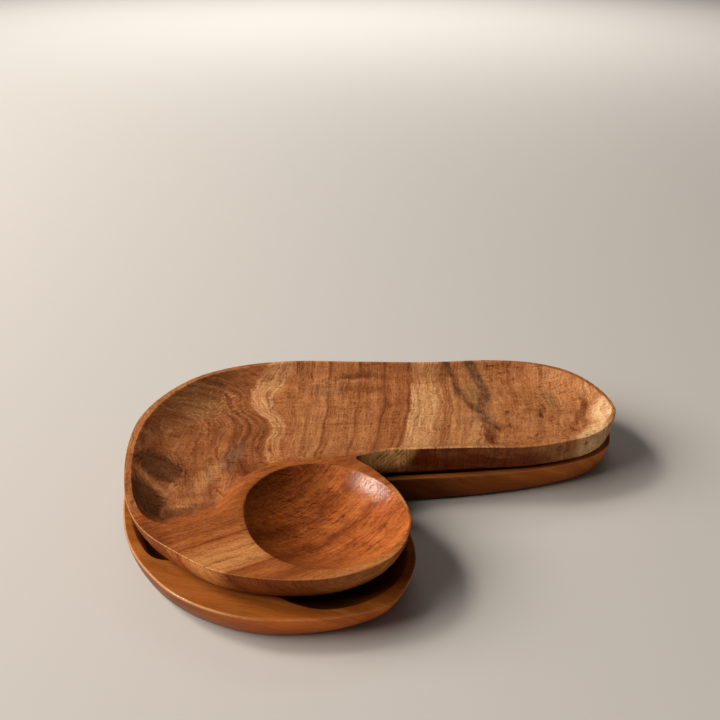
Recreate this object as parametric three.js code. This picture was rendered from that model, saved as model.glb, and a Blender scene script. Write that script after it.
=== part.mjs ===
// Chip and dip server: two carved wooden boards of one pattern, stacked one on the other.
// Each board is a single plank with a long hollow for chips, which runs along the arm and
// curls round the left shoulder, and a round bowl for dip in the lobe that the shoulder holds.
// Millimetres. X runs along the arm, Y towards the back, Z up. Z = 0 is the lower board's foot.

import * as THREE from "three";

// Driving dimensions
const BOARD_THICKNESS = 27;
const STACKING_GAP = 0.3;
const TRAY_DEPTH = 14;
const BOWL_DEPTH = 20;

// How finely the curves are cut
const STEPS_PER_POINT = 4;
const BOWL_STEPS_PER_POINT = 6;
const TRAY_RINGS = 7;
const BOWL_RINGS = 8;

// The side of a board from its foot to its rim: [height, how far the side is tucked under],
// the first as a share of the thickness, the second as a share of that place's undercut.
const SIDE_PROFILE = [
  [0, 1],
  [0.06, 0.8],
  [0.25, 0.54],
  [0.5, 0.28],
  [0.75, 0.09],
  [1, 0],
];

// Each outline runs anticlockwise from the right end of the arm. An outer outline's point is
// [x, y, undercut], where undercut is how far inside the rim the foot stands. A tray's point is
// [x, y, slope], where slope is the width of the sloping side between the rim and the floor.
const UPPER_OUTLINE = [
  [210, 62, 5], [204, 99, 8], [184, 131, 9], [152, 148, 8], [112, 153, 7], [50, 149, 6],
  [-20, 150, 6], [-86, 151, 7], [-134, 141, 8], [-172, 119, 9], [-197, 84, 9], [-209, 46, 9],
  [-209, 8, 9], [-202, -34, 10], [-190, -73, 11], [-172, -102, 12], [-143, -126, 12],
  [-110, -145, 13], [-60, -153, 14], [-22, -147, 15], [8, -127, 16], [20, -94, 13],
  [13, -60, 9], [-6, -30, 6], [-20, -14, 5], [-12, -9, 4], [3, -4, 3], [35, -2, 3],
  [80, 0, 6], [122, 1, 9], [155, 9, 9], [181, 20, 8], [200, 39, 6],
];
const UPPER_TRAY = [
  [207, 64, 38], [200, 98, 36], [181, 127, 30], [150, 144, 26], [110, 149, 22], [50, 146, 20],
  [-20, 147, 20], [-86, 147, 24], [-131, 136, 30], [-167, 116, 36], [-191, 82, 40],
  [-203, 40, 44], [-203, 6, 44], [-197, -32, 40], [-186, -67, 28], [-172, -89, 18],
  [-152, -97, 14], [-130, -92, 15], [-110, -74, 22], [-103, -50, 32], [-90, -30, 38],
  [-66, -17, 42], [-34, -11, 44], [-8, -5, 44], [35, 0, 44], [80, 2, 44], [122, 3, 44],
  [152, 11, 43], [178, 23, 42], [197, 42, 39],
];
const UPPER_BOWL = [
  [19, -92], [13, -66], [-1, -46], [-26, -28], [-55, -22], [-84, -32], [-101, -56],
  [-102, -86], [-88, -119], [-64, -138], [-36, -143], [-8, -134], [11, -117],
];
const LOWER_OUTLINE = [
  [212, 80, 11], [204, 111, 10], [179, 138, 9], [142, 151, 8], [100, 152, 7], [40, 149, 6],
  [-30, 150, 6], [-92, 149, 7], [-138, 137, 9], [-176, 112, 10], [-201, 76, 10], [-212, 36, 9],
  [-211, -2, 8], [-204, -44, 8], [-190, -84, 9], [-168, -116, 10], [-140, -141, 13],
  [-100, -158, 14], [-64, -161, 14], [-25, -157, 17], [4, -145, 20], [19, -121, 19],
  [24, -96, 15], [18, -64, 10], [-2, -34, 7], [-16, -18, 6], [-8, -12, 4], [6, -8, 4],
  [36, -5, 5], [80, -1, 7], [126, 6.5, 9], [160, 16, 10], [186, 28, 10], [203, 44, 10],
  [209, 60, 10],
];
const LOWER_TRAY = [
  [208, 80, 38], [199, 108, 36], [176, 133, 30], [140, 147, 26], [100, 148, 22], [40, 145, 20],
  [-30, 146, 20], [-91, 145, 24], [-135, 132, 30], [-171, 109, 36], [-195, 74, 40],
  [-206, 34, 44], [-205, -2, 44], [-199, -42, 38], [-184, -80, 26], [-167, -101, 17],
  [-148, -104, 14], [-128, -98, 15], [-110, -80, 22], [-104, -56, 32], [-90, -34, 38],
  [-64, -20, 42], [-32, -13, 44], [-4, -6, 44], [36, -1, 44], [80, 3, 44], [125, 10.5, 44],
  [157, 20, 43], [182, 33, 42], [199, 49, 39],
];
const LOWER_BOWL = [
  [18, -98], [14, -74], [0, -50], [-24, -34], [-52, -29], [-80, -38], [-99, -62],
  [-102, -92], [-90, -124], [-67, -144], [-40, -152], [-10, -143], [10, -124],
];

const flat = ([x, y]) => new THREE.Vector3(x, y, 0);

const smoothLoop = (points) => new THREE.CatmullRomCurve3(points, true, "centripetal");

// The outline moved inwards, each point by its own third number.
function insetLoop(outline) {
  const rim = smoothLoop(outline.map(flat));
  const moved = outline.map((entry, index) => {
    const along = rim.getTangent(index / outline.length);
    const inwards = new THREE.Vector3(-along.y, along.x, 0);
    return flat(entry).addScaledVector(inwards, entry[2]);
  });
  return smoothLoop(moved);
}

// Collects rings of points and the faces between them into one closed body.
class Skin {
  constructor() {
    this.positions = [];
    this.faces = [];
  }

  // Adds the loop's points at the given height and gives back their numbers.
  ring(pointAt, count, z) {
    const first = this.positions.length / 3;
    for (let i = 0; i < count; i += 1) {
      const point = pointAt(i / count);
      this.positions.push(point.x, point.y, z);
    }
    return Array.from({ length: count }, (_, i) => first + i);
  }

  // A band between two rings of equal count, facing right of the way they run when it goes up.
  band(from, to) {
    from.forEach((corner, i) => {
      const next = (i + 1) % from.length;
      this.faces.push(corner, from[next], to[next]);
      this.faces.push(corner, to[next], to[i]);
    });
  }

  // A flat face inside one ring and outside the holes, facing up or down.
  cap(ring, holes, facesUp) {
    const plan = (numbers) => numbers.map((n) => this.planPoint(n));
    const corners = [ring, ...holes].flat();
    for (const [a, b, c] of THREE.ShapeUtils.triangulateShape(plan(ring), holes.map(plan))) {
      const turn = this.turnOf(corners[a], corners[b], corners[c]);
      const keep = turn > 0 === facesUp;
      this.faces.push(corners[a], corners[keep ? b : c], corners[keep ? c : b]);
    }
  }

  planPoint(n) {
    return new THREE.Vector2(this.positions[3 * n], this.positions[3 * n + 1]);
  }

  turnOf(a, b, c) {
    const toB = this.planPoint(b).sub(this.planPoint(a));
    const toC = this.planPoint(c).sub(this.planPoint(a));
    return toB.cross(toC);
  }

  geometry() {
    const body = new THREE.BufferGeometry();
    body.setAttribute("position", new THREE.Float32BufferAttribute(this.positions, 3));
    body.setIndex(this.faces);
    body.computeVertexNormals();
    return body;
  }
}

// The outer side, from the foot ring up to the rim ring, which it gives back.
function addSide(skin, outline) {
  const rim = smoothLoop(outline.map(flat));
  const foot = insetLoop(outline);
  const count = outline.length * STEPS_PER_POINT;
  const rings = SIDE_PROFILE.map(([height, tuck]) => {
    const place = (u) => rim.getPoint(u).lerp(foot.getPoint(u), tuck);
    return skin.ring(place, count, height * BOARD_THICKNESS);
  });
  rings.slice(1).forEach((ring, i) => skin.band(rings[i], ring));
  skin.cap(rings[0], [], false);
  return rings[rings.length - 1];
}

// The chip hollow: scooped sides that level out into a flat floor. Gives back its rim ring.
function addTray(skin, outline) {
  const rim = smoothLoop(outline.map(flat));
  const floor = insetLoop(outline);
  const count = outline.length * STEPS_PER_POINT;
  const rings = [];
  for (let step = 0; step <= TRAY_RINGS; step += 1) {
    const across = step / TRAY_RINGS;
    const depth = TRAY_DEPTH * (1 - (1 - across) ** 2);
    const place = (u) => rim.getPoint(u).lerp(floor.getPoint(u), across);
    rings.push(skin.ring(place, count, BOARD_THICKNESS - depth));
  }
  rings.slice(1).forEach((ring, i) => skin.band(rings[i], ring));
  skin.cap(rings[TRAY_RINGS], [], true);
  return rings[0];
}

// The dip bowl: part of a ball, shrinking from its rim to a small flat at the bottom.
function addBowl(skin, outline) {
  const rim = smoothLoop(outline.map(flat));
  const middle = outline.map(flat).reduce((sum, p) => sum.add(p)).divideScalar(outline.length);
  const radius = rim.getPoint(0).distanceTo(middle);
  const ballRadius = (radius ** 2 + BOWL_DEPTH ** 2) / (2 * BOWL_DEPTH);
  const count = outline.length * BOWL_STEPS_PER_POINT;
  const rings = [];
  for (let step = 0; step < BOWL_RINGS; step += 1) {
    const inwards = step / BOWL_RINGS;
    const out = radius * (1 - inwards);
    const depth = Math.sqrt(ballRadius ** 2 - out ** 2) - (ballRadius - BOWL_DEPTH);
    const place = (u) => rim.getPoint(u).lerp(middle, inwards);
    rings.push(skin.ring(place, count, BOARD_THICKNESS - depth));
  }
  rings.slice(1).forEach((ring, i) => skin.band(rings[i], ring));
  skin.cap(rings[BOWL_RINGS - 1], [], true);
  return rings[0];
}

function makeServer(name, outline, tray, bowl, material) {
  const skin = new Skin();
  const outerRim = addSide(skin, outline);
  const trayRim = addTray(skin, tray);
  const bowlRim = addBowl(skin, bowl);
  skin.cap(outerRim, [trayRim, bowlRim], true);
  const server = new THREE.Mesh(skin.geometry(), material);
  server.name = name;
  return server;
}

const figuredWood = new THREE.MeshStandardMaterial({ color: 0xa5693a, roughness: 0.5, metalness: 0 });
const plainWood = new THREE.MeshStandardMaterial({ color: 0x9c5620, roughness: 0.38, metalness: 0 });

const lowerServer = makeServer("lower_server", LOWER_OUTLINE, LOWER_TRAY, LOWER_BOWL, plainWood);
const upperServer = makeServer("upper_server", UPPER_OUTLINE, UPPER_TRAY, UPPER_BOWL, figuredWood);
upperServer.position.z = BOARD_THICKNESS + STACKING_GAP;

const stack = new THREE.Group();
stack.add(lowerServer, upperServer);

// The origin is on the surface that the stack stands on, under the middle of its plan.
const plan = new THREE.Box3().setFromObject(stack);
const planMiddle = plan.getCenter(new THREE.Vector3());
stack.position.set(-planMiddle.x, -planMiddle.y, 0);

export default stack;
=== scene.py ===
"""Looks of the chip and dip server: two carved wooden boards, stacked, on a pale floor.

Lengths in the tables below are millimetres in the boards' own plan, X along the arm and Y to
the back. Everything that is placed in the scene is in metres.
"""

import math

import bpy
import numpy as np
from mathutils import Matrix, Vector
from mathutils.geometry import delaunay_2d_cdt


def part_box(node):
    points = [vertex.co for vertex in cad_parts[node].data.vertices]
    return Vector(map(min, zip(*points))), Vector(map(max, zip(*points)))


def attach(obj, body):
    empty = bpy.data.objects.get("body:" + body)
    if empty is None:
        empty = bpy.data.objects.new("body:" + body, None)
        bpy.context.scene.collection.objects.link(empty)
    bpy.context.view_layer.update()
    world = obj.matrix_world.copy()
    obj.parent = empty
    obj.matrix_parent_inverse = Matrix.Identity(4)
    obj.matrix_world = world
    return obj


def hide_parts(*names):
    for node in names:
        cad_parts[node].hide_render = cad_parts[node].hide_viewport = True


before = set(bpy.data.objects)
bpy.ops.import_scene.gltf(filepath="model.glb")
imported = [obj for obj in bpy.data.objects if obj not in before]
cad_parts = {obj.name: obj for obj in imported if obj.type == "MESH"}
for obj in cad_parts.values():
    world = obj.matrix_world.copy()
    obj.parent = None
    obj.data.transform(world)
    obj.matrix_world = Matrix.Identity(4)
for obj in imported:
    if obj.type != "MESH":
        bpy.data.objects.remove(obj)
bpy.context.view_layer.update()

MM = 0.001
TRAY_DEPTH = 14.0
BOWL_DEPTH = 20.0
TRAY_FLOOR = 40.3

# ---------------------------------------------------------------- outlines of the boards
# Anticlockwise from the right end of the arm. Outer outlines hold [x, y, undercut of the
# foot], trays [x, y, width of the sloping side], bowls [x, y].

UPPER = {
    "outline": [
        [210, 62, 5], [204, 99, 8], [184, 131, 9], [152, 148, 8], [112, 153, 7], [50, 149, 6],
        [-20, 150, 6], [-86, 151, 7], [-134, 141, 8], [-172, 119, 9], [-197, 84, 9],
        [-209, 46, 9], [-209, 8, 9], [-202, -34, 10], [-190, -73, 11], [-172, -102, 12],
        [-143, -126, 12], [-110, -145, 13], [-60, -153, 14], [-22, -147, 15], [8, -127, 16],
        [20, -94, 13], [13, -60, 9], [-6, -30, 6], [-20, -14, 5], [-12, -9, 4], [3, -4, 3],
        [35, -2, 3], [80, 0, 6], [122, 1, 9], [155, 9, 9], [181, 20, 8], [200, 39, 6],
    ],
    "tray": [
        [207, 64, 38], [200, 98, 36], [181, 127, 30], [150, 144, 26], [110, 149, 22],
        [50, 146, 20], [-20, 147, 20], [-86, 147, 24], [-131, 136, 30], [-167, 116, 36],
        [-191, 82, 40], [-203, 40, 44], [-203, 6, 44], [-197, -32, 40], [-186, -67, 28],
        [-172, -89, 18], [-152, -97, 14], [-130, -92, 15], [-110, -74, 22], [-103, -50, 32],
        [-90, -30, 38], [-66, -17, 42], [-34, -11, 44], [-9, -4, 44], [11, -0.6, 44],
        [35, 0.6, 44], [80, 2, 44], [122, 3, 44], [152, 11, 43], [178, 23, 42], [197, 42, 39],
    ],
    "bowl": [
        [19, -92], [13, -66], [-1, -46], [-26, -28], [-55, -22], [-84, -32], [-101, -56],
        [-102, -86], [-88, -119], [-64, -138], [-36, -143], [-8, -134], [11, -117],
    ],
    "arris": [[-66, 131], [-50, 134.5], [-35, 136.5], [-10, 137.5], [8, 137]],
    "edge_radius": 0.7,
    "rim_softness": 0.35,
}
LOWER = {
    "outline": [
        [212, 80, 11], [204, 111, 10], [179, 138, 9], [142, 151, 8], [100, 152, 7],
        [40, 149, 6], [-30, 150, 6], [-92, 149, 7], [-138, 137, 9], [-176, 112, 10],
        [-201, 76, 10], [-212, 36, 9], [-211, -2, 8], [-204, -44, 8], [-190, -84, 9],
        [-168, -116, 10], [-140, -141, 13], [-100, -158, 14], [-64, -161, 14],
        [-25, -157, 17], [4, -145, 20], [19, -121, 19], [24, -96, 15], [18, -64, 10],
        [-2, -34, 7], [-16, -18, 6], [-8, -12, 4], [6, -8, 4], [36, -5, 5], [80, -1, 7],
        [126, 6.5, 9], [160, 16, 10], [186, 28, 10], [203, 44, 10], [209, 60, 10],
    ],
    "tray": [
        [208, 80, 38], [199, 108, 36], [176, 133, 30], [140, 147, 26], [100, 148, 22],
        [40, 145, 20], [-30, 146, 20], [-91, 145, 24], [-135, 132, 30], [-171, 109, 36],
        [-195, 74, 40], [-206, 34, 44], [-205, -2, 44], [-199, -42, 38], [-184, -80, 26],
        [-167, -101, 17], [-148, -104, 14], [-128, -98, 15], [-110, -80, 22],
        [-104, -56, 32], [-90, -34, 38], [-64, -20, 42], [-32, -13, 44], [-4, -6, 44],
        [36, -1, 44], [80, 3, 44], [125, 10.5, 44], [157, 20, 43], [182, 33, 42], [199, 49, 39],
    ],
    "bowl": [
        [18, -98], [14, -74], [0, -50], [-24, -34], [-52, -29], [-80, -38], [-99, -62],
        [-102, -92], [-90, -124], [-67, -144], [-40, -152], [-10, -143], [10, -124],
    ],
    "edge_radius": 1.6,
    "rim_softness": 0.6,
}

# The side of a board from its foot to its rim: share of the height, share of the undercut.
SIDE_HEIGHTS = [0, 0.06, 0.25, 0.5, 0.75, 1]
SIDE_TUCKS = [1, 0.8, 0.54, 0.28, 0.09, 0]
FOOT_RADIUS = 3.0
# Where the land beside a hollow is narrow, the rim's edge is rounded by this share of it.
EDGE_SHARE = 0.35
# Nearer to the bowl's rim than the first the tray's wall is soft, beyond the second it's crisp.
SOFT_WITHIN = 12
CRISP_BEYOND = 26
# The soft ridge on the back wall: its height, its widths and the length over which it fades.
ARRIS_HEIGHT = 1.3
ARRIS_ABOVE = 2.5
ARRIS_BELOW = 5.0
ARRIS_FADE = 8

# How finely the surfaces are cut: samples for each point of a table, rings of points, and the
# powers that crowd the rings of a hollow towards its rim.
OUTER_STEPS = 20
TRAY_STEPS = 20
BOWL_STEPS = 36
SIDE_RINGS = 16
EDGE_RINGS = 5
TRAY_RINGS = 34
BOWL_RINGS = 36
TRAY_CROWDING = 1.4
BOWL_CROWDING = 1.2
# Flat sheets: the spacing of their points, of their rows, and how far they stay off the edges.
SHEET_SPACING = 3.5
UNDERSIDE_SPACING = 10.5
ROW_SHARE = 0.87
CLEAR_SHARE = 0.6


# ---------------------------------------------------------------- curves in the plan
def smooth_loop(points, steps):
    """Closed centripetal Catmull-Rom curve through the points, with steps samples between them."""
    knots = np.array(points, float)
    before, after, beyond = np.roll(knots, 1, 0), np.roll(knots, -1, 0), np.roll(knots, -2, 0)

    def gap(a, b):
        return np.maximum(np.linalg.norm(b - a, axis=1) ** 0.5, 1e-4)[:, None]

    gap0, gap1, gap2 = gap(before, knots), gap(knots, after), gap(after, beyond)
    leave = (knots - before) / gap0 - (after - before) / (gap0 + gap1) + (after - knots) / gap1
    arrive = (after - knots) / gap1 - (beyond - knots) / (gap1 + gap2) + (beyond - after) / gap2
    s = (np.arange(steps) / steps)[None, :, None]
    knots, after = knots[:, None], after[:, None]
    leave, arrive = (leave * gap1)[:, None], (arrive * gap1)[:, None]
    curve = (2 * s**3 - 3 * s**2 + 1) * knots + (s**3 - 2 * s**2 + s) * leave
    curve = curve + (3 * s**2 - 2 * s**3) * after + (s**3 - s**2) * arrive
    return curve.reshape(-1, 2)


def inward_normals(loop):
    along = np.roll(loop, -1, 0) - np.roll(loop, 1, 0)
    along /= np.linalg.norm(along, axis=1)[:, None]
    return np.stack([-along[:, 1], along[:, 0]], axis=1)


def inset_loop(table, steps):
    """The table's outline moved inwards, each point by its own third number."""
    points = np.array(table, float)
    fine = smooth_loop(points[:, :2], steps)
    moved = points[:, :2] + inward_normals(fine)[::steps] * points[:, 2:3]
    return smooth_loop(moved, steps)


def inside(loop, points):
    """True for each point that lies inside the closed loop."""
    x, y = points[:, 0:1], points[:, 1:2]
    a, b = loop, np.roll(loop, -1, 0)
    spans = (a[:, 1] > y) != (b[:, 1] > y)
    with np.errstate(divide="ignore", invalid="ignore"):
        crossing = a[:, 0] + (y - a[:, 1]) * (b[:, 0] - a[:, 0]) / (b[:, 1] - a[:, 1])
    return (np.sum(spans & (x < crossing), axis=1) % 2) == 1


def clearance(loop, points):
    """Distance from each point to the nearest sample of the loop."""
    apart = points[:, None, :] - loop[None, ::2, :]
    return np.sqrt((apart**2).sum(2)).min(1)


def smoothstep(low, high, value):
    t = np.clip((value - low) / (high - low), 0, 1)
    return t * t * (3 - 2 * t)


# ---------------------------------------------------------------- flat sheets
def sheet_points(loops, spacing):
    """A triangular grid of points inside the first loop, clear of that loop and the others."""
    low, high = loops[0].min(0), loops[0].max(0)
    columns = np.arange(low[0], high[0], spacing)
    rows = np.arange(low[1], high[1], spacing * ROW_SHARE)
    grid = np.stack(np.meshgrid(columns, rows), axis=-1)
    grid[1::2, :, 0] += spacing / 2
    grid = grid.reshape(-1, 2)
    keep = inside(loops[0], grid)
    for hole in loops[1:]:
        keep &= ~inside(hole, grid)
    grid = grid[keep]
    for loop in loops:
        grid = grid[clearance(loop, grid) > spacing * CLEAR_SHARE]
    return grid


def sheet_triangles(loops, plan, faces_up):
    """Triangles on the plan's points, which are those of the loops and then the others."""
    edges, first = [], 0
    for loop in loops:
        order = np.arange(first, first + len(loop))
        edges.extend(zip(order.tolist(), np.roll(order, -1).tolist()))
        first += len(loop)
    made = delaunay_2d_cdt([Vector(p) for p in plan], edges, [], 1, 1e-6)
    triangles = np.array(made[2])
    for hole in loops[1:]:
        triangles = triangles[~inside(hole, plan[triangles].mean(1))]
    a, b, c = (plan[triangles[:, k]] for k in range(3))
    to_b, to_c = b - a, c - a
    turn = to_b[:, 0] * to_c[:, 1] - to_c[:, 0] * to_b[:, 1]
    flip = (turn > 0) != faces_up
    triangles[flip] = triangles[flip][:, ::-1]
    return triangles


# ---------------------------------------------------------------- closed skins
class Skin:
    """Collects rings of points and the faces between them into one closed body."""

    def __init__(self):
        self.points = []
        self.faces = []
        self.marks = {}

    def mark(self, name, rings):
        """Remembers which points belong to a region, for the material."""
        self.marks[name] = np.concatenate(rings)

    def add_points(self, plan, heights):
        first = sum(len(p) for p in self.points)
        heights = np.broadcast_to(heights, (len(plan),))
        self.points.append(np.column_stack([plan, heights]))
        return np.arange(first, first + len(plan))

    def band(self, start, end):
        """Faces between two rings of equal count; the outside is to the right going up."""
        near, far = np.roll(start, -1), np.roll(end, -1)
        self.faces.extend(np.stack([start, near, far, end], axis=1).tolist())

    def bands(self, rings):
        for start, end in zip(rings, rings[1:]):
            self.band(start, end)

    def cap(self, rings, spacing, height, faces_up=True):
        """Fills the first ring, apart from the others, with a sheet of small triangles."""
        everything = np.concatenate(self.points)
        loops = [everything[ring][:, :2] for ring in rings]
        grid = sheet_points(loops, spacing)
        new = self.add_points(grid, height)
        numbers = np.concatenate(list(rings) + [new])
        triangles = sheet_triangles(loops, np.concatenate(loops + [grid]), faces_up)
        self.faces.extend(numbers[triangles].tolist())
        return new

    def mesh(self, name, points):
        mesh = bpy.data.meshes.new(name)
        mesh.from_pydata((points * MM).tolist(), [], self.faces)
        for mark, numbers in self.marks.items():
            values = np.zeros(len(points), np.float32)
            values[numbers] = 1
            mesh.attributes.new(mark, "FLOAT", "POINT").data.foreach_set("value", values)
        mesh.shade_smooth()
        return mesh


# ---------------------------------------------------------------- a board
def add_side(skin, board, thickness, hollow_rims):
    """Rounded foot, tucked-under side and rounded rim edge. Gives back the top ring."""
    table = board["outline"]
    rim = smooth_loop([p[:2] for p in table], OUTER_STEPS)
    foot = inset_loop(table, OUTER_STEPS)
    inwards = inward_normals(rim)
    land = np.min([clearance(hollow, rim) for hollow in hollow_rims], axis=0)
    radius = np.minimum(board["edge_radius"], land * EDGE_SHARE)[:, None]
    rings = []
    for k in range(EDGE_RINGS):
        turn = math.pi / 2 * k / EDGE_RINGS
        shift = FOOT_RADIUS * (1 - math.sin(turn))
        rings.append(skin.add_points(foot + inwards * shift, FOOT_RADIUS * (1 - math.cos(turn))))
    for k in range(SIDE_RINGS):
        height = FOOT_RADIUS + (thickness - radius - FOOT_RADIUS) * k / (SIDE_RINGS - 1)
        tuck = np.interp(height / thickness, SIDE_HEIGHTS, SIDE_TUCKS)
        rings.append(skin.add_points(rim * (1 - tuck) + foot * tuck, height[:, 0]))
    for k in range(1, EDGE_RINGS + 1):
        turn = math.pi / 2 * k / EDGE_RINGS
        shift = inwards * radius * (1 - math.cos(turn))
        height = thickness - radius[:, 0] * (1 - math.sin(turn))
        rings.append(skin.add_points(rim + shift, height))
    skin.bands(rings)
    under = skin.cap([rings[0]], UNDERSIDE_SPACING, 0, faces_up=False)
    skin.mark("side", rings[:-3] + [under])
    skin.mark("edge", rings[-4:-1])
    return rings[-1]


def arris(board, plan):
    """Height of the soft ridge left by the gouge along part of the back wall."""
    if "arris" not in board:
        return 0
    line = np.array(board["arris"], float)
    x, y = plan[:, 0], plan[:, 1]
    below = np.interp(x, line[:, 0], line[:, 1]) - y
    width = np.where(below > 0, ARRIS_BELOW, ARRIS_ABOVE)
    first, last = line[0, 0], line[-1, 0]
    begins = smoothstep(first - ARRIS_FADE, first + ARRIS_FADE, x)
    ends = smoothstep(last + ARRIS_FADE, last - ARRIS_FADE, x)
    return ARRIS_HEIGHT * np.exp(-((below / width) ** 2)) * (begins * ends)


def add_tray(skin, board, thickness, rim, bowl_middle, bowl_radius):
    """The chip hollow, crisp at its outer rim and soft along the ridge beside the bowl."""
    floor = inset_loop(board["tray"], TRAY_STEPS)
    beside_bowl = np.linalg.norm(rim - bowl_middle, axis=1) - bowl_radius
    soft = 1 - smoothstep(SOFT_WITHIN, CRISP_BEYOND, beside_bowl)
    crispness = board["rim_softness"]
    rings = []
    for k in range(TRAY_RINGS + 1):
        across = (k / TRAY_RINGS) ** TRAY_CROWDING
        scooped = 1 - (1 - across) ** 2
        eased = across * across * (3 - 2 * across)
        depth = TRAY_DEPTH * (scooped * (1 - soft) + eased * soft)
        depth = np.sqrt(depth**2 + crispness**2) - crispness
        plan = rim * (1 - across) + floor * across
        depth = np.maximum(depth - arris(board, plan), 0)
        rings.append(skin.add_points(plan, thickness - depth))
    skin.bands(rings)
    skin.cap([rings[-1]], SHEET_SPACING, thickness - TRAY_DEPTH + crispness)
    return rings[0]


def add_bowl(skin, board, thickness, rim, middle, radius):
    """The dip bowl, part of a ball, closed at its lowest point by a small fan."""
    ball = (radius**2 + BOWL_DEPTH**2) / (2 * BOWL_DEPTH)
    crispness = board["rim_softness"]
    rings = []
    for k in range(BOWL_RINGS):
        inwards = (k / BOWL_RINGS) ** BOWL_CROWDING
        out = radius * (1 - inwards)
        depth = math.sqrt(ball**2 - out**2) - (ball - BOWL_DEPTH)
        depth = math.sqrt(depth**2 + crispness**2) - crispness
        rings.append(skin.add_points(rim * (1 - inwards) + middle * inwards, thickness - depth))
    skin.bands(rings)
    centre = skin.add_points(middle[None, :], thickness - BOWL_DEPTH + crispness)[0]
    last = rings[-1]
    skin.faces.extend([a, b, centre] for a, b in zip(last.tolist(), np.roll(last, -1).tolist()))
    skin.mark("bowl", rings[1:] + [np.array([centre])])
    return rings[0]


def make_board(name, node, body, board):
    """A carved board that stands for a CAD node and rides on its body."""
    low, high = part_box(node)
    thickness = (high.z - low.z) / MM
    skin = Skin()
    bowl_rim = smooth_loop(board["bowl"], BOWL_STEPS)
    bowl_middle = np.array(board["bowl"], float).mean(0)
    bowl_radius = np.linalg.norm(bowl_rim[0] - bowl_middle)
    tray_rim = smooth_loop([p[:2] for p in board["tray"]], TRAY_STEPS)
    outer_ring = add_side(skin, board, thickness, (tray_rim, bowl_rim))
    tray_ring = add_tray(skin, board, thickness, tray_rim, bowl_middle, bowl_radius)
    bowl_ring = add_bowl(skin, board, thickness, bowl_rim, bowl_middle, bowl_radius)
    land = skin.cap([outer_ring, tray_ring, bowl_ring], SHEET_SPACING, thickness)
    skin.mark("land", [outer_ring, tray_ring, bowl_ring, land])
    points = np.concatenate(skin.points)
    rim_box = np.array([points.min(0), points.max(0)])
    place = np.array([(low.x + high.x) / 2, (low.y + high.y) / 2, low.z]) / MM
    points += place - np.array([*rim_box[:, :2].mean(0), 0])
    piece = bpy.data.objects.new(name, skin.mesh(name, points))
    bpy.context.scene.collection.objects.link(piece)
    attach(piece, body)
    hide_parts(node)
    return piece


# ---------------------------------------------------------------- wood
# Colours of the bare wood, linear.
CREAM = (0.74, 0.43, 0.21)
STRAW = (0.58, 0.285, 0.12)
GOLD = (0.48, 0.215, 0.082)
TAN = (0.42, 0.160, 0.056)
AMBER = (0.37, 0.126, 0.041)
RUSSET = (0.30, 0.098, 0.032)
CHESTNUT = (0.21, 0.063, 0.020)
REDWOOD = (0.145, 0.034, 0.011)
UMBER = (0.11, 0.037, 0.014)
OLIVE = (0.31, 0.140, 0.052)
SMOKE = (0.20, 0.080, 0.025)
ASH = (0.22, 0.095, 0.045)
WINE = (0.15, 0.027, 0.004)
NOTCH = (0.95, 0.47, 0.16)
RED_SIDE = (0.21, 0.048, 0.011)
HONEY = (0.36, 0.105, 0.017)
COPPER = (0.27, 0.068, 0.009)
GILT = (0.45, 0.155, 0.032)
# Not bare wood: the colour of the highlight painted along the lower board's rim edge.
RIM_HIGHLIGHT = (0.70, 0.34, 0.15)
ARM_TINT = (0.97, 0.78, 0.45)
LAND_TINT = (0.98, 1.08, 1.35)
# What the finest dark and light marks do to the colour they lie on.
DARK_MARK = (0.40, 0.27, 0.2)
LIGHT_MARK = (1.62, 1.78, 1.85)

# Noises of the two woods: feature sizes along three coordinates, detail and roughness.
FIGURED_NOISES = {
    "wander": [(45, 45, 45), 2, 0.5],
    "wiggle": [(8, 15, 15), 3, 0.5],
    "ripple": [(24, 4.5, 9), 2, 0.5],
    "drift": [(14, 14, 14), 3, 0.5],
    "fibre": [(1.1, 16, 16), 3, 0.65],
    "ribbon": [(4.5, 60, 60), 2, 0.5],
    "rings": [(2.6, 90, 90), 1, 0.5],
    "pores": [(0.8, 4, 4), 1, 0.5],
    "curl": [(22, 3.2, 12), 2, 0.5],
    "speckle": [(2.0, 2.0, 2.0), 3, 0.6],
    "broken": [(3, 40, 40), 2, 0.5],
    "cloud": [(10, 13, 13), 4, 0.6],
    "flecks": [(1.6, 7, 7), 2, 0.5],
    "mottle": [(13, 13, 13), 4, 0.62],
    "flame": [(30, 30, 9), 3, 0.5],
    "rasp": [(1.5, 14, 14), 2, 0.5],
    "tears": [(9, 1.3, 5), 2, 0.5],
}
PLAIN_NOISES = {
    "wander": [(60, 60, 60), 2, 0.5],
    "wide": [(14, 160, 160), 2, 0.5],
    "fibre": [(1.3, 26, 26), 3, 0.6],
    "pores": [(0.9, 5, 5), 1, 0.5],
}
# The grain of the lower board falls to the right.
PLAIN_TURN = -12
# How deep the fine marks are, in metres.
FIGURED_BUMP = 0.00015
PLAIN_BUMP = 0.0001

# Where the wavy golden band left of the middle starts, how wide it is there, and where the
# broad golden band right of the middle starts: [y, millimetres].
LEFT_EDGE = [
    [-160, -60], [-20, -88], [0, -94], [15, -97], [35, -98], [50, -96], [65, -100], [80, -111],
    [95, -119], [110, -121], [130, -116], [150, -106],
]
LEFT_WIDTH = [[-160, 0], [-5, 0], [15, 3], [45, 8], [70, 14], [100, 24], [125, 26], [150, 22]]
RIGHT_EDGE = [[-160, 0], [2, 15], [30, 19], [50, 23], [72, 27], [90, 30], [132, 31], [155, 33]]
MIDDLE_START = -90.0
MIDDLE_WIDTH = 120.0
# The waves of the grain are weaker between these places along the arm.
CALM_LEFT = (-88, -62)
CALM_RIGHT = (36, 20)
CALM_WAVES = 0.3
# Shares of the middle over which its lines straighten out.
STRAIGHTENING = (0.05, 0.45)
# Where the flat growth layers, the mottling of the left end and that of the arm set in.
FLAT_LAYERS = (-100, -140)
LEFT_END = (-105, -135)
ARM_START = (62, 100)

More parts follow.
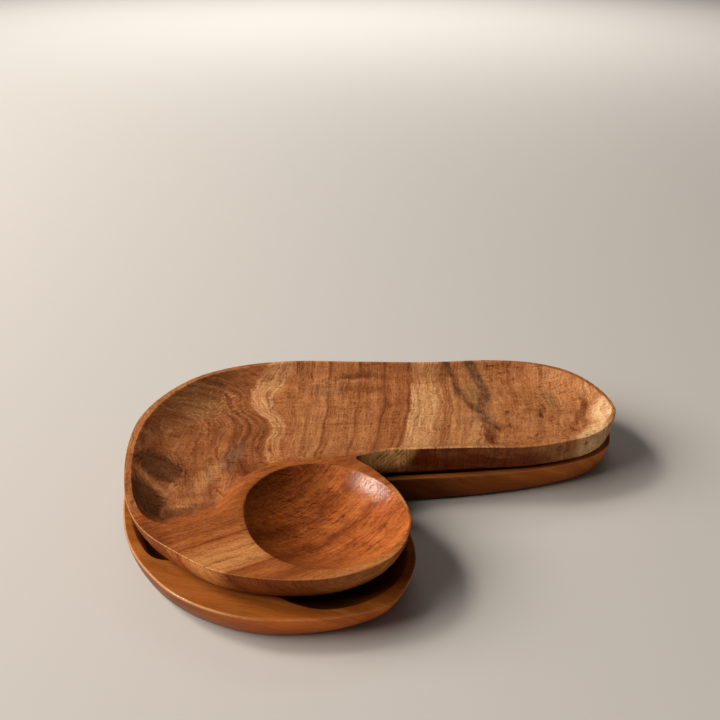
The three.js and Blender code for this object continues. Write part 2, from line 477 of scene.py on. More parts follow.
# Bands between and beside those edges: distance across the grain and colour.
LEFT_BANDS = [
    [-120, RUSSET], [-104, AMBER], [-98, CHESTNUT], [-90, RUSSET], [-82, CHESTNUT], [-76, AMBER],
    [-66, CHESTNUT], [-58, RUSSET], [-48, CHESTNUT], [-43, RUSSET], [-34, AMBER], [-26, CHESTNUT],
    [-22, RUSSET], [-17, REDWOOD], [-14, RUSSET], [-10, CHESTNUT], [-7, RUSSET],
    [-4, CHESTNUT], [0, RUSSET],
]
MIDDLE_BANDS = [
    [0, TAN], [12, TAN], [14.5, RUSSET], [16, AMBER], [26, TAN], [29, RUSSET], [31, TAN],
    [41, TAN], [43.5, CHESTNUT], [45.5, AMBER], [56, TAN], [64, AMBER], [70, TAN],
    [72, CHESTNUT], [74, AMBER], [84, TAN], [92, AMBER], [96, CHESTNUT], [98, RUSSET],
    [104, AMBER], [111, RUSSET], [116, AMBER], [118.5, CHESTNUT], [120, RUSSET],
]
RIGHT_BANDS = [
    [0, RUSSET], [1.2, TAN], [2, STRAW], [7, STRAW], [8.5, GOLD], [10, STRAW], [18, GOLD],
    [22, STRAW], [26, GOLD], [27.5, AMBER], [29, GOLD], [31.5, RUSSET], [33, TAN],
    [34, CHESTNUT], [35.5, TAN], [37, RUSSET], [38.5, GOLD], [44, TAN], [46, AMBER],
    [48, GOLD], [53, TAN], [60, GOLD], [75, TAN], [95, AMBER], [125, TAN], [180, TAN],
]

# The front, where the grain climbs to the right: distance across it and colour.
FRONT_TURN = 28
FRONT_TINT = (0.90, 0.73, 0.55)
FRONT_BANDS = [
    [-130, TAN], [-116, GOLD], [-104, TAN], [-101, AMBER], [-97, CHESTNUT], [-92, RUSSET],
    [-86, AMBER], [-80, RUSSET], [-77, CHESTNUT], [-76, TAN], [-74, GOLD], [-66, STRAW],
    [-52, GOLD], [-45, TAN], [-43, AMBER], [-41.5, CHESTNUT], [-40, AMBER], [-34, TAN],
    [-31, RUSSET], [-24, AMBER], [-19, RUSSET], [-12, AMBER], [0, RUSSET], [10, AMBER],
    [40, RUSSET],
]
# The red corner at the left of the front: middle, half sizes, turn and softness.
RED_CORNER = [(-161, -108), (32, 15), -50, 0.7]
# Where the front grain takes over from the rest: [x, y].
FRONT_EDGE = [
    [-220, -82], [-180, -76], [-150, -67], [-125, -52], [-105, -32], [-85, -17], [-55, -10],
    [-20, -6], [20, -10], [220, -10],
]

# The bowl: the middle and turn of its grain, the span of its change of colour, its bands.
BOWL_MIDDLE = (-42, -83)
BOWL_TURN = 45
BOWL_SPAN = (-105, -15)
BOWL_LEFT_TINT = (0.58, 0.39, 0.17)
BOWL_RIGHT_TINT = (1.22, 0.92, 0.66)
BOWL_BANDS = [
    [-75, RUSSET], [-60, AMBER], [-50, TAN], [-44, AMBER], [-38, RUSSET], [-30, AMBER],
    [-22, RUSSET], [-16, AMBER], [-8, CHESTNUT], [-2, RUSSET], [6, AMBER], [14, RUSSET],
    [20, CHESTNUT], [26, RUSSET], [36, AMBER], [48, RUSSET], [60, CHESTNUT],
]

# The two dark streaks across the arm: [y, x], half width and softness, where they set in.
NEAR_STREAK = [
    [0, 92], [75, 95], [85, 90], [95, 85], [108, 81], [122, 77], [135, 76], [142, 72],
    [152, 66], [160, 62],
]
NEAR_STREAK_WIDTH = (1.0, 7)
NEAR_STREAK_START = (68, 88)
FAR_STREAK = [
    [0, 96], [45, 99], [55, 104], [65, 98], [75, 95], [88, 95], [100, 99], [115, 102],
    [128, 101], [140, 98], [152, 90], [160, 86],
]
FAR_STREAK_WIDTH = (2.0, 9)
FAR_STREAK_START = (40, 60)

# Patches on the tray: x, y, half length, half width, turn, softness, strength, colour.
PATCHES = [
    [-176, 105, 54, 42, 40, 0.9, 0.65, SMOKE], [-155, 132, 44, 15, 25, 0.8, 0.5, UMBER],
    [-185, 60, 30, 18, 80, 0.9, 0.2, UMBER],
    [-160, 78, 30, 24, 60, 0.8, 0.7, OLIVE], [-150, 60, 20, 14, 70, 0.9, 0.6, AMBER],
    [-152, 20, 34, 30, 0, 0.9, 0.6, RUSSET], [-192, 30, 50, 12, 90, 0.9, 0.25, CHESTNUT],
    [-122, 10, 30, 12, 80, 0.6, 0.85, ASH], [-139, -18, 34, 12, 66, 0.7, 0.55, GOLD],
    [-172, 25, 30, 10, 85, 0.9, 0.75, TAN], [-140, 40, 40, 34, 90, 0.9, 0.35, CHESTNUT],
    [-106, -14, 26, 13, 110, 0.6, 0.8, REDWOOD], [-113, -50, 24, 14, 40, 0.7, 0.8, AMBER],
    [-150, -50, 22, 10, 30, 0.8, 0.6, TAN], [-162, -66, 28, 10, 20, 0.7, 0.7, UMBER],
    [-50, 119, 24, 12, 0, 0.6, 0.55, ASH], [-15, 124, 26, 12, 0, 0.5, 0.7, CHESTNUT],
    [-43, 121, 9, 8, 0, 0.8, 0.6, OLIVE], [12, 95, 9, 8, 0, 0.9, 0.7, REDWOOD],
    [-30, 60, 30, 2.5, 0, 0.9, 0.5, CHESTNUT], [-34, 74, 30, 2, 0, 0.9, 0.4, CHESTNUT],
    [-26, 88, 34, 2.5, 0, 0.9, 0.5, CHESTNUT], [-60, 95, 14, 10, 0, 0.9, 0.4, TAN],
    [-30, 40, 40, 20, 0, 0.9, 0.3, TAN],
    [40, 142, 24, 18, 0, 0.8, 0.6, AMBER], [-112, 140, 20, 16, 0, 0.8, 0.5, AMBER],
    [90, 112, 26, 9, 98, 0.5, 0.85, OLIVE], [86, 68, 20, 12, 0, 0.9, 0.5, OLIVE],
    [96, 40, 32, 8, 92, 0.7, 0.9, REDWOOD],
    [163, 108, 20, 12, 100, 0.8, 0.8, OLIVE], [168, 136, 24, 14, -35, 0.8, 0.7, GOLD],
    # The two CREAM patches at the arm's end are pale wood and also a painted sheen where the light
    # catches the end of the tray.
    [196, 104, 20, 14, 110, 0.7, 0.8, GOLD], [199, 66, 28, 14, 80, 0.6, 1.0, CREAM],
    [184, 34, 32, 12, 50, 0.6, 0.9, CREAM], [183, 76, 32, 5, 66, 0.6, 0.85, CHESTNUT],
    [167, 45, 24, 9, 75, 0.7, 0.6, RUSSET], [140, 30, 30, 16, 20, 0.9, 0.5, RUSSET],
]
# The two dark stains at the left end and the pale strip between them, same columns.
STAINS = [
    [-178, -9, 27, 17, -38, 0.35, 0.9, UMBER], [-183, -51, 26, 15, -52, 0.4, 0.85, UMBER],
    [-181, -31, 32, 3.5, -38, 0.6, 0.85, TAN],
]
# Knots on the arm and cracks at the back: x, y, half length, half width, turn.
KNOTS = [
    [148, 76, 9, 4, 80], [117, 80, 7, 3, 60], [116, 60, 5, 4, 0], [137, 42, 6, 3.5, 60],
    [131, 35, 6, 3.5, 30], [160, 62, 5, 4, 0], [170, 47, 8, 3.5, 100], [104, 54, 7, 3, 110],
    [126, 62, 5, 2.5, 130], [152, 92, 10, 2.5, 100], [-79, 147, 10, 1.2, 90],
    [-64, 141, 8, 1.6, 110], [-126, -40, 12, 1.6, -50], [-96, -8, 12, 2, -60],
]
KNOT_SOFTNESS = 0.8

# The turn of the flecks of light, and the shoulder that they lie on: middle, half sizes, turn
# and softness.
FLECK_TURN = 62
SHOULDER = [(-146, 88), (56, 46), 30, 0.8]
# Where the dark and light along the ridge of the back wall set in, from its two ends.
RIDGE_LEFT = (-78, -60)
RIDGE_RIGHT = (12, -10)
# The pale wood in the notch: middle, half sizes, turn and softness.
NOTCH_SPOT = [(-20, -2), (29, 14), 0, 0.5]


class Graph:
    """A material and short ways to add nodes to it; values may be numbers or sockets."""

    def __init__(self, name, noises):
        self.noises = noises
        self.material = bpy.data.materials.new(name)
        self.material.use_nodes = True
        self.tree = self.material.node_tree
        self.shader = self.tree.nodes["Principled BSDF"]
        coordinates = self.tree.nodes.new("ShaderNodeTexCoord").outputs["Object"]
        scaled = self.add("VectorMath", {0: coordinates, "Scale": 1 / MM}, operation="SCALE")
        parts = self.tree.nodes.new("ShaderNodeSeparateXYZ")
        self.tree.links.new(scaled, parts.inputs[0])
        self.x, self.y, self.z = self.here = tuple(parts.outputs)

    def add(self, kind, inputs, output=0, **settings):
        node = self.tree.nodes.new("ShaderNode" + kind)
        for key, value in settings.items():
            setattr(node, key, value)
        for key, value in inputs.items():
            self.feed(node.inputs[key], value)
        return node.outputs[output]

    def feed(self, socket, value):
        if isinstance(value, bpy.types.NodeSocket):
            self.tree.links.new(value, socket)
        else:
            socket.default_value = value

    def region(self, name):
        """One on the part of the mesh marked with this name."""
        return self.add("Attribute", {}, "Fac", attribute_name=name)

    def math(self, operation, *values):
        return self.add("Math", dict(enumerate(values)), operation=operation)

    def minus(self, a, b):
        return self.math("SUBTRACT", a, b)

    def times(self, product, *factors):
        for factor in factors:
            product = self.math("MULTIPLY", product, factor)
        return product

    def total(self, first, *weighted):
        """The first value plus each (value, weight) pair."""
        for value, weight in weighted:
            first = self.math("MULTIPLY_ADD", value, weight, first)
        return first

    def linear(self, value, low, high, at_low=0.0, at_high=1.0, **settings):
        """Even change from at_low to at_high while the value goes from low to high."""
        ends = {"Value": value, "From Min": low, "From Max": high}
        ends.update({"To Min": at_low, "To Max": at_high})
        return self.add("MapRange", ends, **settings)

    def between(self, *value_and_ends):
        """The same as linear, but smooth at both ends."""
        return self.linear(*value_and_ends, interpolation_type="SMOOTHSTEP")

    def within(self, value, rise, fall):
        """One between the rise and the fall, each given as (from, to)."""
        return self.times(self.between(value, *rise), self.between(value, *fall))

    def turned(self, degrees, x, y):
        """Distance along and across a grain that climbs at the given angle."""
        s, c = math.sin(math.radians(degrees)), math.cos(math.radians(degrees))
        along = self.total(self.times(x, c), (y, s))
        across = self.total(self.times(y, c), (x, -s))
        return along, across

    def noise(self, name, place):
        """The noise of that name in the table, at three coordinates, about -0.5 to 0.5."""
        sizes, detail, roughness = self.noises[name]
        scaled = [self.times(value, 1 / size) for value, size in zip(place, sizes)]
        settings = {"Vector": self.add("CombineXYZ", dict(enumerate(scaled))), "Scale": 1.0}
        settings.update({"Detail": detail, "Roughness": roughness})
        return self.minus(self.add("TexNoise", settings), 0.5)

    def curve(self, value, points):
        """The smooth curve through the given pairs, first number in, second out."""
        table = np.array(points, float)
        low, high = table.min(0), table.max(0)
        table = (table - low) / (high - low)
        node = self.tree.nodes.new("ShaderNodeFloatCurve")
        line = node.mapping.curves[0]
        line.points[0].location = table[0]
        line.points[-1].location = table[-1]
        for place in table[1:-1]:
            line.points.new(*place)
        node.mapping.update()
        self.feed(node.inputs["Value"], self.linear(value, low[0], high[0]))
        return self.linear(node.outputs[0], 0, 1, low[1], high[1])

    def bands(self, value, table):
        """Colour bands from a table of positions and colours."""
        low, high = table[0][0], table[-1][0]
        node = self.tree.nodes.new("ShaderNodeValToRGB")
        stops = node.color_ramp.elements
        while len(stops) < len(table):
            stops.new(0.5)
        for stop, (place, colour) in zip(stops, table):
            stop.position = (place - low) / (high - low)
            stop.color = (*colour, 1)
        self.feed(node.inputs[0], self.linear(value, low, high))
        return node.outputs[0]

    def mix(self, amount, first, second):
        colours = [(*c, 1) if isinstance(c, tuple) else c for c in (first, second)]
        inputs = {0: amount, 6: colours[0], 7: colours[1]}
        return self.add("Mix", inputs, 2, data_type="RGBA")

    def lay(self, tint, colour, *amounts):
        """The tint laid over the colour, as strongly as the product of the amounts."""
        return self.mix(self.times(*amounts), colour, tint)

    def patch(self, x, y, middle, half_sizes, turn, softness, fray=0.0):
        """One inside a turned oval, falling to nought at its edge, which fray makes ragged.

        Plain sums only: vector nodes here would use up the space Cycles has for a material.
        """
        s, c = math.sin(math.radians(turn)), math.cos(math.radians(turn))
        (length, width), (mx, my) = half_sizes, middle
        along = self.total(-(mx * c + my * s) / length, (x, c / length), (y, s / length))
        across = self.total((mx * s - my * c) / width, (x, -s / width), (y, c / width))
        out = self.math("SQRT", self.total(self.times(across, across), (along, along)))
        return self.between(self.math("ADD", out, fray), 1, 1 - softness)

    def streak(self, x, y, line, half_width, softness):
        """One along a curve given as [y, x] pairs."""
        aside = self.math("ABSOLUTE", self.minus(x, self.curve(y, line)))
        return self.between(aside, half_width + softness, half_width)

    def shade_where(self, mask, colour, amount):
        """The colour times the amount where the mask is one, unchanged where it is nought."""
        scale = self.linear(mask, 0, 1, 1, amount)
        return self.add("VectorMath", {0: colour, "Scale": scale}, operation="SCALE")

    def tinted(self, colour, tint):
        return self.add("VectorMath", {0: colour, 1: tint}, operation="MULTIPLY")

    def marked(self, colour, tone):
        """The colour with dark marks where the tone is below a half, light ones above."""
        return self.tinted(colour, self.mix(tone, DARK_MARK, LIGHT_MARK))

    def gloss(self, shine, coat_roughness, coat):
        """How strongly the wood itself and its coat of oil shine."""
        self.feed(self.shader.inputs["Specular IOR Level"], shine)
        self.feed(self.shader.inputs["Coat Roughness"], coat_roughness)
        self.feed(self.shader.inputs["Coat Weight"], coat)

    def finish(self, colour, roughness, bump, bump_height):
        """Connects the shader, with the bump height in metres."""
        self.feed(self.shader.inputs["Base Color"], colour)
        self.feed(self.shader.inputs["Roughness"], roughness)
        height = {"Height": bump, "Distance": bump_height, "Strength": 1.0}
        bumpy = self.add("Bump", height)
        self.feed(self.shader.inputs["Normal"], bumpy)
        self.feed(self.shader.inputs["Coat Normal"], bumpy)
        return self.material


# ---------------------------------------------------------------- the figured wood
# In the functions below, g is the material's graph. They keep on it what later ones use.
def bend(g):
    """Wobbles the coordinates, less in the calm middle of the tray."""
    x, y, z = g.here
    g.wander = g.noise("wander", g.here)
    g.wiggle = g.noise("wiggle", g.here)
    g.ripple = g.noise("ripple", g.here)
    g.drift = g.noise("drift", (y, x, z))
    wavy = g.linear(g.within(x, CALM_LEFT, CALM_RIGHT), 0, 1, 1, CALM_WAVES)
    wiggles, ripples = g.times(g.wiggle, wavy), g.times(g.ripple, wavy)
    g.bent_x = g.total(x, (g.wander, 7), (wiggles, 5), (ripples, 2.5))
    g.bent_y = g.total(y, (g.drift, 12))


def main_grain(g):
    """Distance across the main grain, whose lines run from front to back."""
    y, z = g.y, g.z
    left, right = g.curve(y, LEFT_EDGE), g.curve(y, RIGHT_EDGE)
    g.from_left = g.minus(g.bent_x, left)
    share = g.linear(g.math("DIVIDE", g.from_left, g.minus(right, left)), 0, 1)
    # Away from the wavy left edge the lines of the middle straighten out.
    start = MIDDLE_START
    straight = g.math("DIVIDE", g.minus(g.bent_x, start), g.minus(right, start))
    straight = g.linear(straight, 0, 1)
    g.share = g.linear(g.between(share, *STRAIGHTENING), 0, 1, share, straight)
    g.beyond = g.math("MAXIMUM", g.minus(g.bent_x, right), 0.0)
    # At the left end the growth layers lie flat, so their lines follow the carved height.
    flat = g.times(g.between(g.bent_x, *FLAT_LAYERS), g.minus(z, TRAY_FLOOR))
    g.left_across = g.total(g.math("MINIMUM", g.from_left, 0.0), (flat, 3.0))
    return g.total(g.left_across, (g.share, MIDDLE_WIDTH), (g.beyond, 1.0))


def turn_grain(g, across):
    """The grain of the whole board: the main one, turned at the front and in the bowl."""
    x, y, z = g.here
    front_along, g.front_across = g.turned(FRONT_TURN, g.bent_x, y)
    edge = g.minus(y, g.curve(x, FRONT_EDGE))
    g.in_front = g.between(g.total(edge, (g.drift, 10)), 4, -4)
    across = g.total(across, (g.wiggle, 2))
    across = g.linear(g.in_front, 0, 1, across, g.front_across)
    along = g.linear(g.in_front, 0, 1, y, front_along)
    g.in_bowl = g.region("bowl")
    bowl_x, bowl_y = g.minus(g.bent_x, BOWL_MIDDLE[0]), g.minus(y, BOWL_MIDDLE[1])
    bowl_along, g.bowl_across = g.turned(BOWL_TURN, bowl_x, bowl_y)
    across = g.linear(g.in_bowl, 0, 1, across, g.bowl_across)
    along = g.linear(g.in_bowl, 0, 1, along, bowl_along)
    g.grain = (across, along, z)


def add_fine_marks(g):
    """Fibres, ribbons of tone, pores, curl across the grain and burl speckle."""
    g.fibre = g.noise("fibre", g.grain)
    g.ribbon = g.noise("ribbon", g.grain)
    g.rings = g.between(g.noise("rings", g.grain), 0.05, 0.16)
    g.pores = g.between(g.noise("pores", g.grain), 0.12, 0.2)
    g.curl = g.noise("curl", g.here)
    g.speckle = g.noise("speckle", g.here)


def main_bands(g):
    """The golden bands and the red and dark lines of the main grain."""
    left = g.bands(g.left_across, LEFT_BANDS)
    middle = g.bands(g.times(g.share, MIDDLE_WIDTH), MIDDLE_BANDS)
    middle = g.mix(g.math("GREATER_THAN", g.share, 0.0001), left, middle)
    right = g.bands(g.total(g.beyond, (g.wiggle, 2)), RIGHT_BANDS)
    colour = g.mix(g.math("GREATER_THAN", g.share, 0.9999), middle, right)
    past_right = g.minus(g.from_left, g.curve(g.y, LEFT_WIDTH))
    golden = g.times(g.between(g.from_left, -1, 4), g.between(past_right, 5, -4))
    broken = g.noise("broken", (g.from_left, g.y, g.z))
    return g.lay(STRAW, colour, golden, g.between(broken, -0.2, 0.04, 0, 0.75))


def mottled(g, colour):
    """Light and dark clouds where the grain is disturbed: the arm and the left end."""
    x, y, z = g.here
    place = (g.total(x, (g.drift, 18)), g.total(y, (g.wiggle, 14)), z)
    g.cloud = g.noise("cloud", place)
    at_left_end = g.between(g.bent_x, *LEFT_END)
    disturbed = g.math("MAXIMUM", g.between(x, *ARM_START), at_left_end)
    light = g.times(disturbed, g.between(g.cloud, 0.02, 0.16))
    dark = g.times(disturbed, g.between(g.cloud, -0.03, -0.18))
    colour = g.lay(GOLD, colour, light, g.between(x, -60, 60, 0.35, 0.65))
    return g.lay(CHESTNUT, colour, dark, 0.6)


def patched(g, colour):
    """The patches, the two stains and the strip between them."""
    parts = g.times(g.cloud, 0.7), (g.ripple, 0.4), (g.fibre, 0.8)
    g.fray = g.total(*parts)
    stain_fray = g.total(g.times(g.drift, 0.5), (g.fibre, 0.9))
    groups = [(PATCHES, g.bent_x, g.bent_y, g.fray), (STAINS, g.x, g.y, stain_fray)]
    for table, x, y, fray in groups:
        for px, py, length, width, turn, softness, strength, tint in table:
            amount = g.patch(x, y, (px, py), (length, width), turn, softness, fray)
            colour = g.lay(tint, colour, amount, strength)
    return colour


def streaked(g, colour):
    """The two dark streaks across the arm, and the knots."""
    near = g.streak(g.bent_x, g.y, NEAR_STREAK, *NEAR_STREAK_WIDTH)
    near = g.times(near, g.between(g.y, *NEAR_STREAK_START))
    far = g.streak(g.bent_x, g.y, FAR_STREAK, *FAR_STREAK_WIDTH)
    far = g.times(far, g.between(g.y, *FAR_STREAK_START))
    breaks = g.math("ADD", g.cloud, g.fibre)
    near = g.times(near, g.between(breaks, -0.22, 0.1))
    far = g.times(far, g.between(breaks, -0.3, 0.05))
    colour = g.lay(UMBER, colour, near, 0.9)
    colour = g.lay(ASH, colour, far, 0.85)
    colour = g.lay(UMBER, colour, g.between(far, 0.45, 1), 0.6)
    for px, py, length, width, turn in KNOTS:
        spot = (px, py), (length, width), turn
        amount = g.patch(g.bent_x, g.bent_y, *spot, KNOT_SOFTNESS, g.fray)
        colour = g.lay(REDWOOD, colour, amount, 0.8)
    return colour


def flecked(g, colour):
    """Flecks of light across the shoulder."""
    along, across = g.turned(FLECK_TURN, g.x, g.y)
    flecks = g.between(g.noise("flecks", (across, along, g.z)), 0.06, 0.2)
    shoulder = g.patch(g.bent_x, g.bent_y, *SHOULDER)
    return g.lay(STRAW, colour, flecks, shoulder, 0.6)


def ridged(g, colour):
    """The soft ridge on the back wall: painted shade above it, darker below, its crest golden."""
    x = g.x
    ridge = g.minus(g.bent_y, g.curve(x, UPPER["arris"]))
    span = g.within(x, RIDGE_LEFT, RIDGE_RIGHT)
    above = g.times(g.within(ridge, (8, 4), (0, 1.5)), g.between(x, -50, -30))
    below = g.within(ridge, (-14, -4), (0, -1.5))
    crest = g.between(g.math("ABSOLUTE", ridge), 1.8, 0.4)
    crest = g.times(crest, g.between(x, -4, -30))
    # Painted shade above the ridge, where the wall is steeper.
    colour = g.lay(REDWOOD, colour, span, above, 0.75)
    colour = g.lay(CHESTNUT, colour, span, below, 0.35)
    return g.lay(GOLD, colour, span, crest, 0.6)


def rimmed(g, colour):
    """The rim: pale at the left end and beside the notch, brown round the arm's end."""
    x, y = g.x, g.y
    left_colour = g.mix(g.between(y, -60, 20), AMBER, TAN)
    colour = g.lay(left_colour, colour, g.land, g.between(x, -110, -160), 0.75)
    by_notch = g.times(g.within(x, (0, 12), (90, 55)), g.between(y, 40, 20))
    colour = g.lay(STRAW, colour, g.land, by_notch, 0.6)
    end = g.times(g.between(x, 130, 165), g.between(y, 35, 55))
    return g.lay(RUSSET, colour, g.land, end, 0.7)


def front(g, colour):
    """The front, where the grain turns."""
    inner = g.bands(g.total(g.front_across, (g.wiggle, 3)), FRONT_BANDS)
    corner = g.patch(g.bent_x, g.bent_y, *RED_CORNER, g.fray)
    inner = g.lay(REDWOOD, inner, corner, 0.6)
    return g.mix(g.in_front, colour, g.tinted(inner, FRONT_TINT))


def bowl(g, colour):
    """The bowl, mottled, polished and darker to the left."""
    mottle = g.noise("mottle", g.here)
    bends = (g.wiggle, 10), (g.wander, 14), (mottle, 26)
    inner = g.bands(g.total(g.bowl_across, *bends), BOWL_BANDS)
    inner = g.lay(CHESTNUT, inner, g.between(mottle, -0.02, -0.18, 0, 0.85))
    inner = g.lay(TAN, inner, g.between(mottle, 0.03, 0.18, 0, 0.6))
    tint = g.mix(g.between(g.x, *BOWL_SPAN), BOWL_LEFT_TINT, BOWL_RIGHT_TINT)
    inner = g.tinted(inner, tint)
    upper_left = g.times(g.between(g.y, -75, -40), g.between(g.x, -30, -55))
    inner = g.shade_where(upper_left, inner, 0.75)
    return g.mix(g.in_bowl, colour, inner)


def arm_side(g, colour):
    """The side under the arm: red brown, with painted light towards its top, broken up by lighter
    flames.
    """
    x, y, z = g.here
    slanted = g.total(x, (z, 1.2))
    under_arm = g.times(g.between(x, 0, 30), g.between(slanted, 215, 165))
    under_arm = g.times(under_arm, g.between(y, 60, 40))
    flame = g.noise("flame", (g.total(x, (z, 1.5)), y, z))
    inner = g.mix(g.between(flame, -0.05, 0.2), WINE, CHESTNUT)
    # Painted light: the side lightens towards its top, more so towards the arm's end.
    painted_light_share = g.between(x, 50, 130, 0.2, 0.6)
    top = g.between(g.total(z, (flame, 30)), 40, 53, 0, painted_light_share)
    inner = g.lay(RUSSET, inner, top)
    return g.lay(inner, colour, g.side, under_arm)


def front_side(g, colour):
    """The side at the front: red brown in the middle, painted lighter at the left as light falling
    on it.
    """
    x, y = g.x, g.y
    middle = g.times(g.within(x, (-122, -104), (-14, -50)), g.between(y, -90, -110))
    colour = g.lay(RED_SIDE, colour, g.side, middle, 0.7)
    # Painted light: the left of the front side made lighter.
    left = g.times(g.between(x, -98, -116), g.between(y, -90, -104))
    return g.shade_where(g.times(g.side, left), colour, 1.35)


def notched(g, colour):
    """The pale wood in the notch, scored by the rasp."""
    x, y, z = g.here
    notch = g.patch(g.total(x, (z, -0.5), (g.wiggle, 8)), y, *NOTCH_SPOT)
    notch = g.times(g.side, notch)
    rasp = g.noise("rasp", (g.total(x, (z, -1.0)), g.total(z, (x, 0.7)), y))
    g.scores = g.times(notch, g.between(rasp, 0.03, 0.14))
    colour = g.lay(g.mix(g.between(z, 29, 44), RUSSET, NOTCH), colour, notch)
    return g.lay(UMBER, colour, g.scores, 0.6)


def painted_edge_highlight(g, colour):
    """Rounded rim edges painted pale as a highlight, most of all at the left of the front."""
    most = g.times(g.between(g.y, -10, -40), g.between(g.x, -95, -125))
    return g.lay(STRAW, colour, g.region("edge"), g.linear(most, 0, 1, 0.15, 0.7))


def tone(g):
    """Light and dark of the fine marks, and of short tears in clusters."""
    tears = g.between(g.noise("tears", g.here), 0.07, 0.19)
    tears = g.times(tears, g.between(g.wander, -0.06, 0.1))
    light = (g.fibre, 1.15), (g.ribbon, 0.5), (g.curl, 0.4), (g.speckle, 0.8)
    rings = g.times(g.rings, g.linear(g.in_front, 0, 1, 1, 0.5))
    dark = (rings, -0.14), (g.pores, -0.24), (tears, -0.38)
    strong = g.total(0.5, *light, *dark)
    softer = g.times(g.minus(g.in_front, g.in_bowl), 0.2)
    return g.linear(softer, 0, 1, strong, 0.5)


def figured_wood():
    """The upper board: golden, red and dark bands, streaks, knots and patches."""
    g = Graph("figured_wood", FIGURED_NOISES)
    g.side, g.land = g.region("side"), g.region("land")
    bend(g)
    turn_grain(g, main_grain(g))
    add_fine_marks(g)
    colour = main_bands(g)
    # Of these layers, ridged, arm_side and front_side paint light and shade, and the last paints a
    # highlight along the rim edges.
    layers = [
        mottled, patched, streaked, flecked, ridged, rimmed, front, bowl, arm_side, front_side,
        notched, painted_edge_highlight,
    ]
    for layer in layers:
        colour = layer(g, colour)
    colour = g.marked(colour, tone(g))
    roughness = g.total(g.linear(g.in_bowl, 0, 1, 0.55, 0.32), (g.fibre, 0.2))
    height = g.total(g.fibre, (g.curl, 0.7), (g.speckle, 0.3))
    height = g.total(height, (g.pores, -0.4), (g.scores, -3.0))
    g.gloss(0.06, 0.18, g.times(g.in_bowl, 0.9))
    return g.finish(colour, roughness, height, FIGURED_BUMP)


# ---------------------------------------------------------------- the plain wood
def plain_sides(g, colour):
    """The side, with light and shade painted in: lighter at the front and at the arm's free end,
    deeper elsewhere.
    """
    x, y, z = g.here
    # Painted light and shade: the side darker at the left end and by the notch, lighter towards
    # the middle of the front, the arm's end and the top.
    light = g.between(x, -170, -60, 0.6, 1.65)
    painted_arm_light = g.between(x, 20, 200, 0.45, 1.6)
    light = g.linear(g.between(y, -90, -40), 0, 1, light, painted_arm_light)
    light = g.times(light, g.between(z, 4, 24, 0.85, 1.1))
    colour = g.shade_where(g.side, colour, light)
    warm = g.math("MAXIMUM", g.between(y, -60, -20), g.between(x, -130, -90))
    warm = g.times(warm, g.between(x, 170, 60))
    return g.lay(g.tinted(colour, ARM_TINT), colour, g.side, warm, 0.8)


def plain_hollows(g, colour):
    """The hollows, darker than the rim by painted shade, the pale land at the left, and a
    highlight painted along the edge at the left.
    """
    x, y, z = g.here
    # Painted shade: the hollows darkened, far most at the left end of the tray, which lies under
    # the upper board.
    hollow = g.times(g.between(z, 26.5, 22), g.linear(g.side, 0, 1, 1, 0))
    colour = g.shade_where(hollow, colour, g.between(x, -175, -125, 0.14, 0.8))
    pale_land = g.times(g.region("land"), g.between(x, -60, -120))
    colour = g.lay(g.tinted(colour, LAND_TINT), colour, pale_land)
    # A highlight painted along the rounded rim edge, strongest at the left of the front.
    painted_rim_highlight = g.times(g.region("edge"), g.between(x, -70, -125, 0.1, 0.65))
    colour = g.lay(RIM_HIGHLIGHT, colour, painted_rim_highlight)
    in_bowl = g.region("bowl")
    # Painted shade: the bowl darkened, most of all at its left.
    colour = g.shade_where(in_bowl, colour, g.between(x, -45, 12, 0.22, 0.6))
    lobe_end = g.times(g.between(x, -45, 5), g.between(y, -40, -60))
    lobe_end = g.times(lobe_end, g.linear(in_bowl, 0, 1, 1, 0))
    return g.shade_where(lobe_end, colour, 0.95)


def plain_wood():
    """The lower board: an even, glossier orange brown."""
    g = Graph("plain_wood", PLAIN_NOISES)
    wander = g.noise("wander", g.here)
    bent_x = g.total(g.x, (wander, 25))
    along, across = g.turned(PLAIN_TURN, bent_x, g.y)
    across = g.total(across, (wander, 18), (g.z, 0.8))
    grain = (across, along, g.z)
    wide, fibre = g.noise("wide", grain), g.noise("fibre", grain)
    pores = g.between(g.noise("pores", grain), 0.14, 0.22)
    g.side = g.region("side")
    colour = g.mix(g.between(wide, -0.15, 0.15), HONEY, COPPER)
    colour = g.lay(GILT, colour, g.between(wide, 0.1, 0.3, 0, 0.6))
    colour = plain_hollows(g, plain_sides(g, colour))
    # A contact shadow painted along the foot of the side.
    painted_contact_shadow = g.times(g.side, g.between(g.z, 2.4, 0.6))
    colour = g.shade_where(painted_contact_shadow, colour, 0.25)
    colour = g.marked(colour, g.total(0.5, (fibre, 0.6), (pores, -0.15)))
    roughness = g.total(0.36, (fibre, 0.12))
    height = g.total(fibre, (pores, -0.4))
    g.gloss(0.06, 0.12, g.between(g.z, 24, 26.5, 0.0, 0.9))
    return g.finish(colour, roughness, height, PLAIN_BUMP)


# ---------------------------------------------------------------- camera, light and floor
CAMERA_PLACE = (-0.0168, -0.5419, 0.4258)
CAMERA_DIP = math.radians(28)
LENS = 40
SENSOR = 36

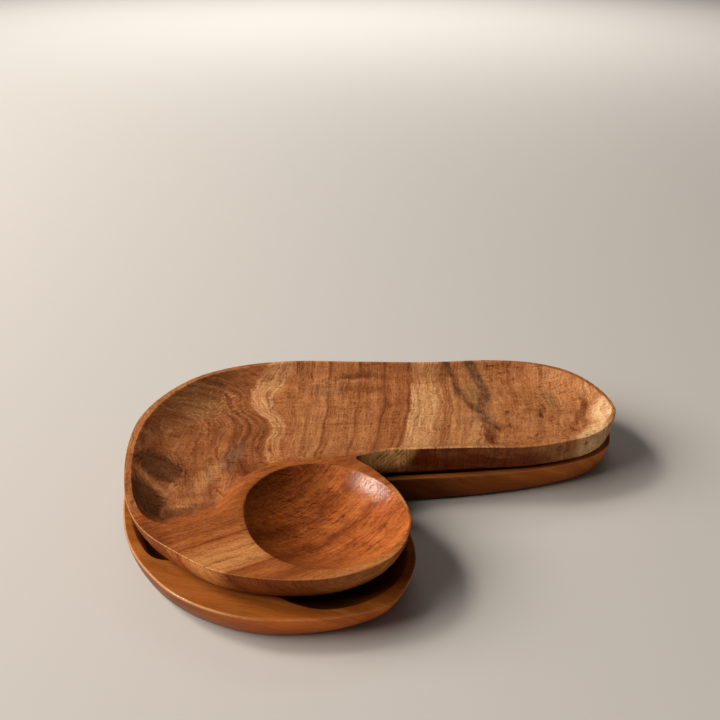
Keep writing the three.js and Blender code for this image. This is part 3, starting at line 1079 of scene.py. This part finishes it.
# Each lamp is seen from its target at a turn from X and a rise, both in degrees.
LAMP = {
    "turn": 172, "rise": 50, "distance": 3.2, "target": (0, 0, 0), "sizes": (0.55, 0.55),
    "power": 27, "colour": (1.0, 0.93, 0.84),
}
WINDOW = {
    "turn": 188, "rise": 38, "distance": 3.2, "target": (0, 0, 0), "sizes": (2.8, 1.9),
    "power": 132, "colour": (1.0, 0.95, 0.9), "glossy": False,
}
BACK_WINDOW = {
    "turn": 90, "rise": 88, "distance": 3.6, "target": (-0.6, 4.6, 0), "sizes": (5.5, 5.0),
    "power": 142, "colour": (1.0, 0.98, 0.95), "spread": 85, "glossy": False,
}
WORLD_STRENGTH = 0.07
WORLD_COLOUR = (1.0, 0.95, 0.9)
FLOOR_HALF = 6.0
FLOOR_COLOUR = (0.585, 0.55, 0.51)
FLOOR_ROUGHNESS = 0.9


def add_camera():
    data = bpy.data.cameras.new("camera")
    data.lens = LENS
    data.sensor_width = SENSOR
    camera = bpy.data.objects.new("camera", data)
    camera.location = CAMERA_PLACE
    camera.rotation_euler = (math.pi / 2 - CAMERA_DIP, 0, 0)
    bpy.context.scene.collection.objects.link(camera)
    bpy.context.scene.camera = camera


def add_area_light(
    name, turn, rise, distance, target, sizes, power, colour, spread=180, glossy=True,
):
    """A flat lamp that faces its target, and shows in glossy surfaces or doesn't."""
    turn, rise = math.radians(turn), math.radians(rise)
    level = math.cos(rise)
    aside = Vector((level * math.cos(turn), level * math.sin(turn), math.sin(rise)))
    data = bpy.data.lights.new(name, "AREA")
    data.shape = "RECTANGLE"
    data.size, data.size_y = sizes
    data.energy = power
    data.color = colour
    data.spread = math.radians(spread)
    light = bpy.data.objects.new(name, data)
    light.location = Vector(target) + aside * distance
    light.rotation_euler = aside.to_track_quat("Z", "Y").to_euler()
    light.visible_glossy = glossy
    bpy.context.scene.collection.objects.link(light)


def add_world(strength, colour):
    world = bpy.data.worlds.new("studio")
    world.use_nodes = True
    world.cycles_visibility.glossy = False
    background = world.node_tree.nodes["Background"]
    background.inputs["Color"].default_value = (*colour, 1)
    background.inputs["Strength"].default_value = strength
    bpy.context.scene.world = world


def add_floor():
    half = FLOOR_HALF
    mesh = bpy.data.meshes.new("floor")
    corners = [(-half, -half, 0), (half, -half, 0), (half, half, 0), (-half, half, 0)]
    mesh.from_pydata(corners, [], [(0, 1, 2, 3)])
    floor = bpy.data.objects.new("floor", mesh)
    bpy.context.scene.collection.objects.link(floor)
    material = bpy.data.materials.new("pale_floor")
    material.use_nodes = True
    shader = material.node_tree.nodes["Principled BSDF"]
    shader.inputs["Base Color"].default_value = (*FLOOR_COLOUR, 1)
    shader.inputs["Roughness"].default_value = FLOOR_ROUGHNESS
    mesh.materials.append(material)


# ---------------------------------------------------------------- the scene
upper = make_board("upper_board_wood", "upper_server", "upper_board", UPPER)
lower = make_board("lower_board_wood", "lower_server", "lower_board", LOWER)
upper.data.materials.append(figured_wood())
lower.data.materials.append(plain_wood())
add_camera()
add_area_light("lamp", **LAMP)
add_area_light("window", **WINDOW)
add_area_light("back_window", **BACK_WINDOW)
add_world(WORLD_STRENGTH, WORLD_COLOUR)
add_floor()
bpy.context.scene.view_settings.view_transform = "Standard"
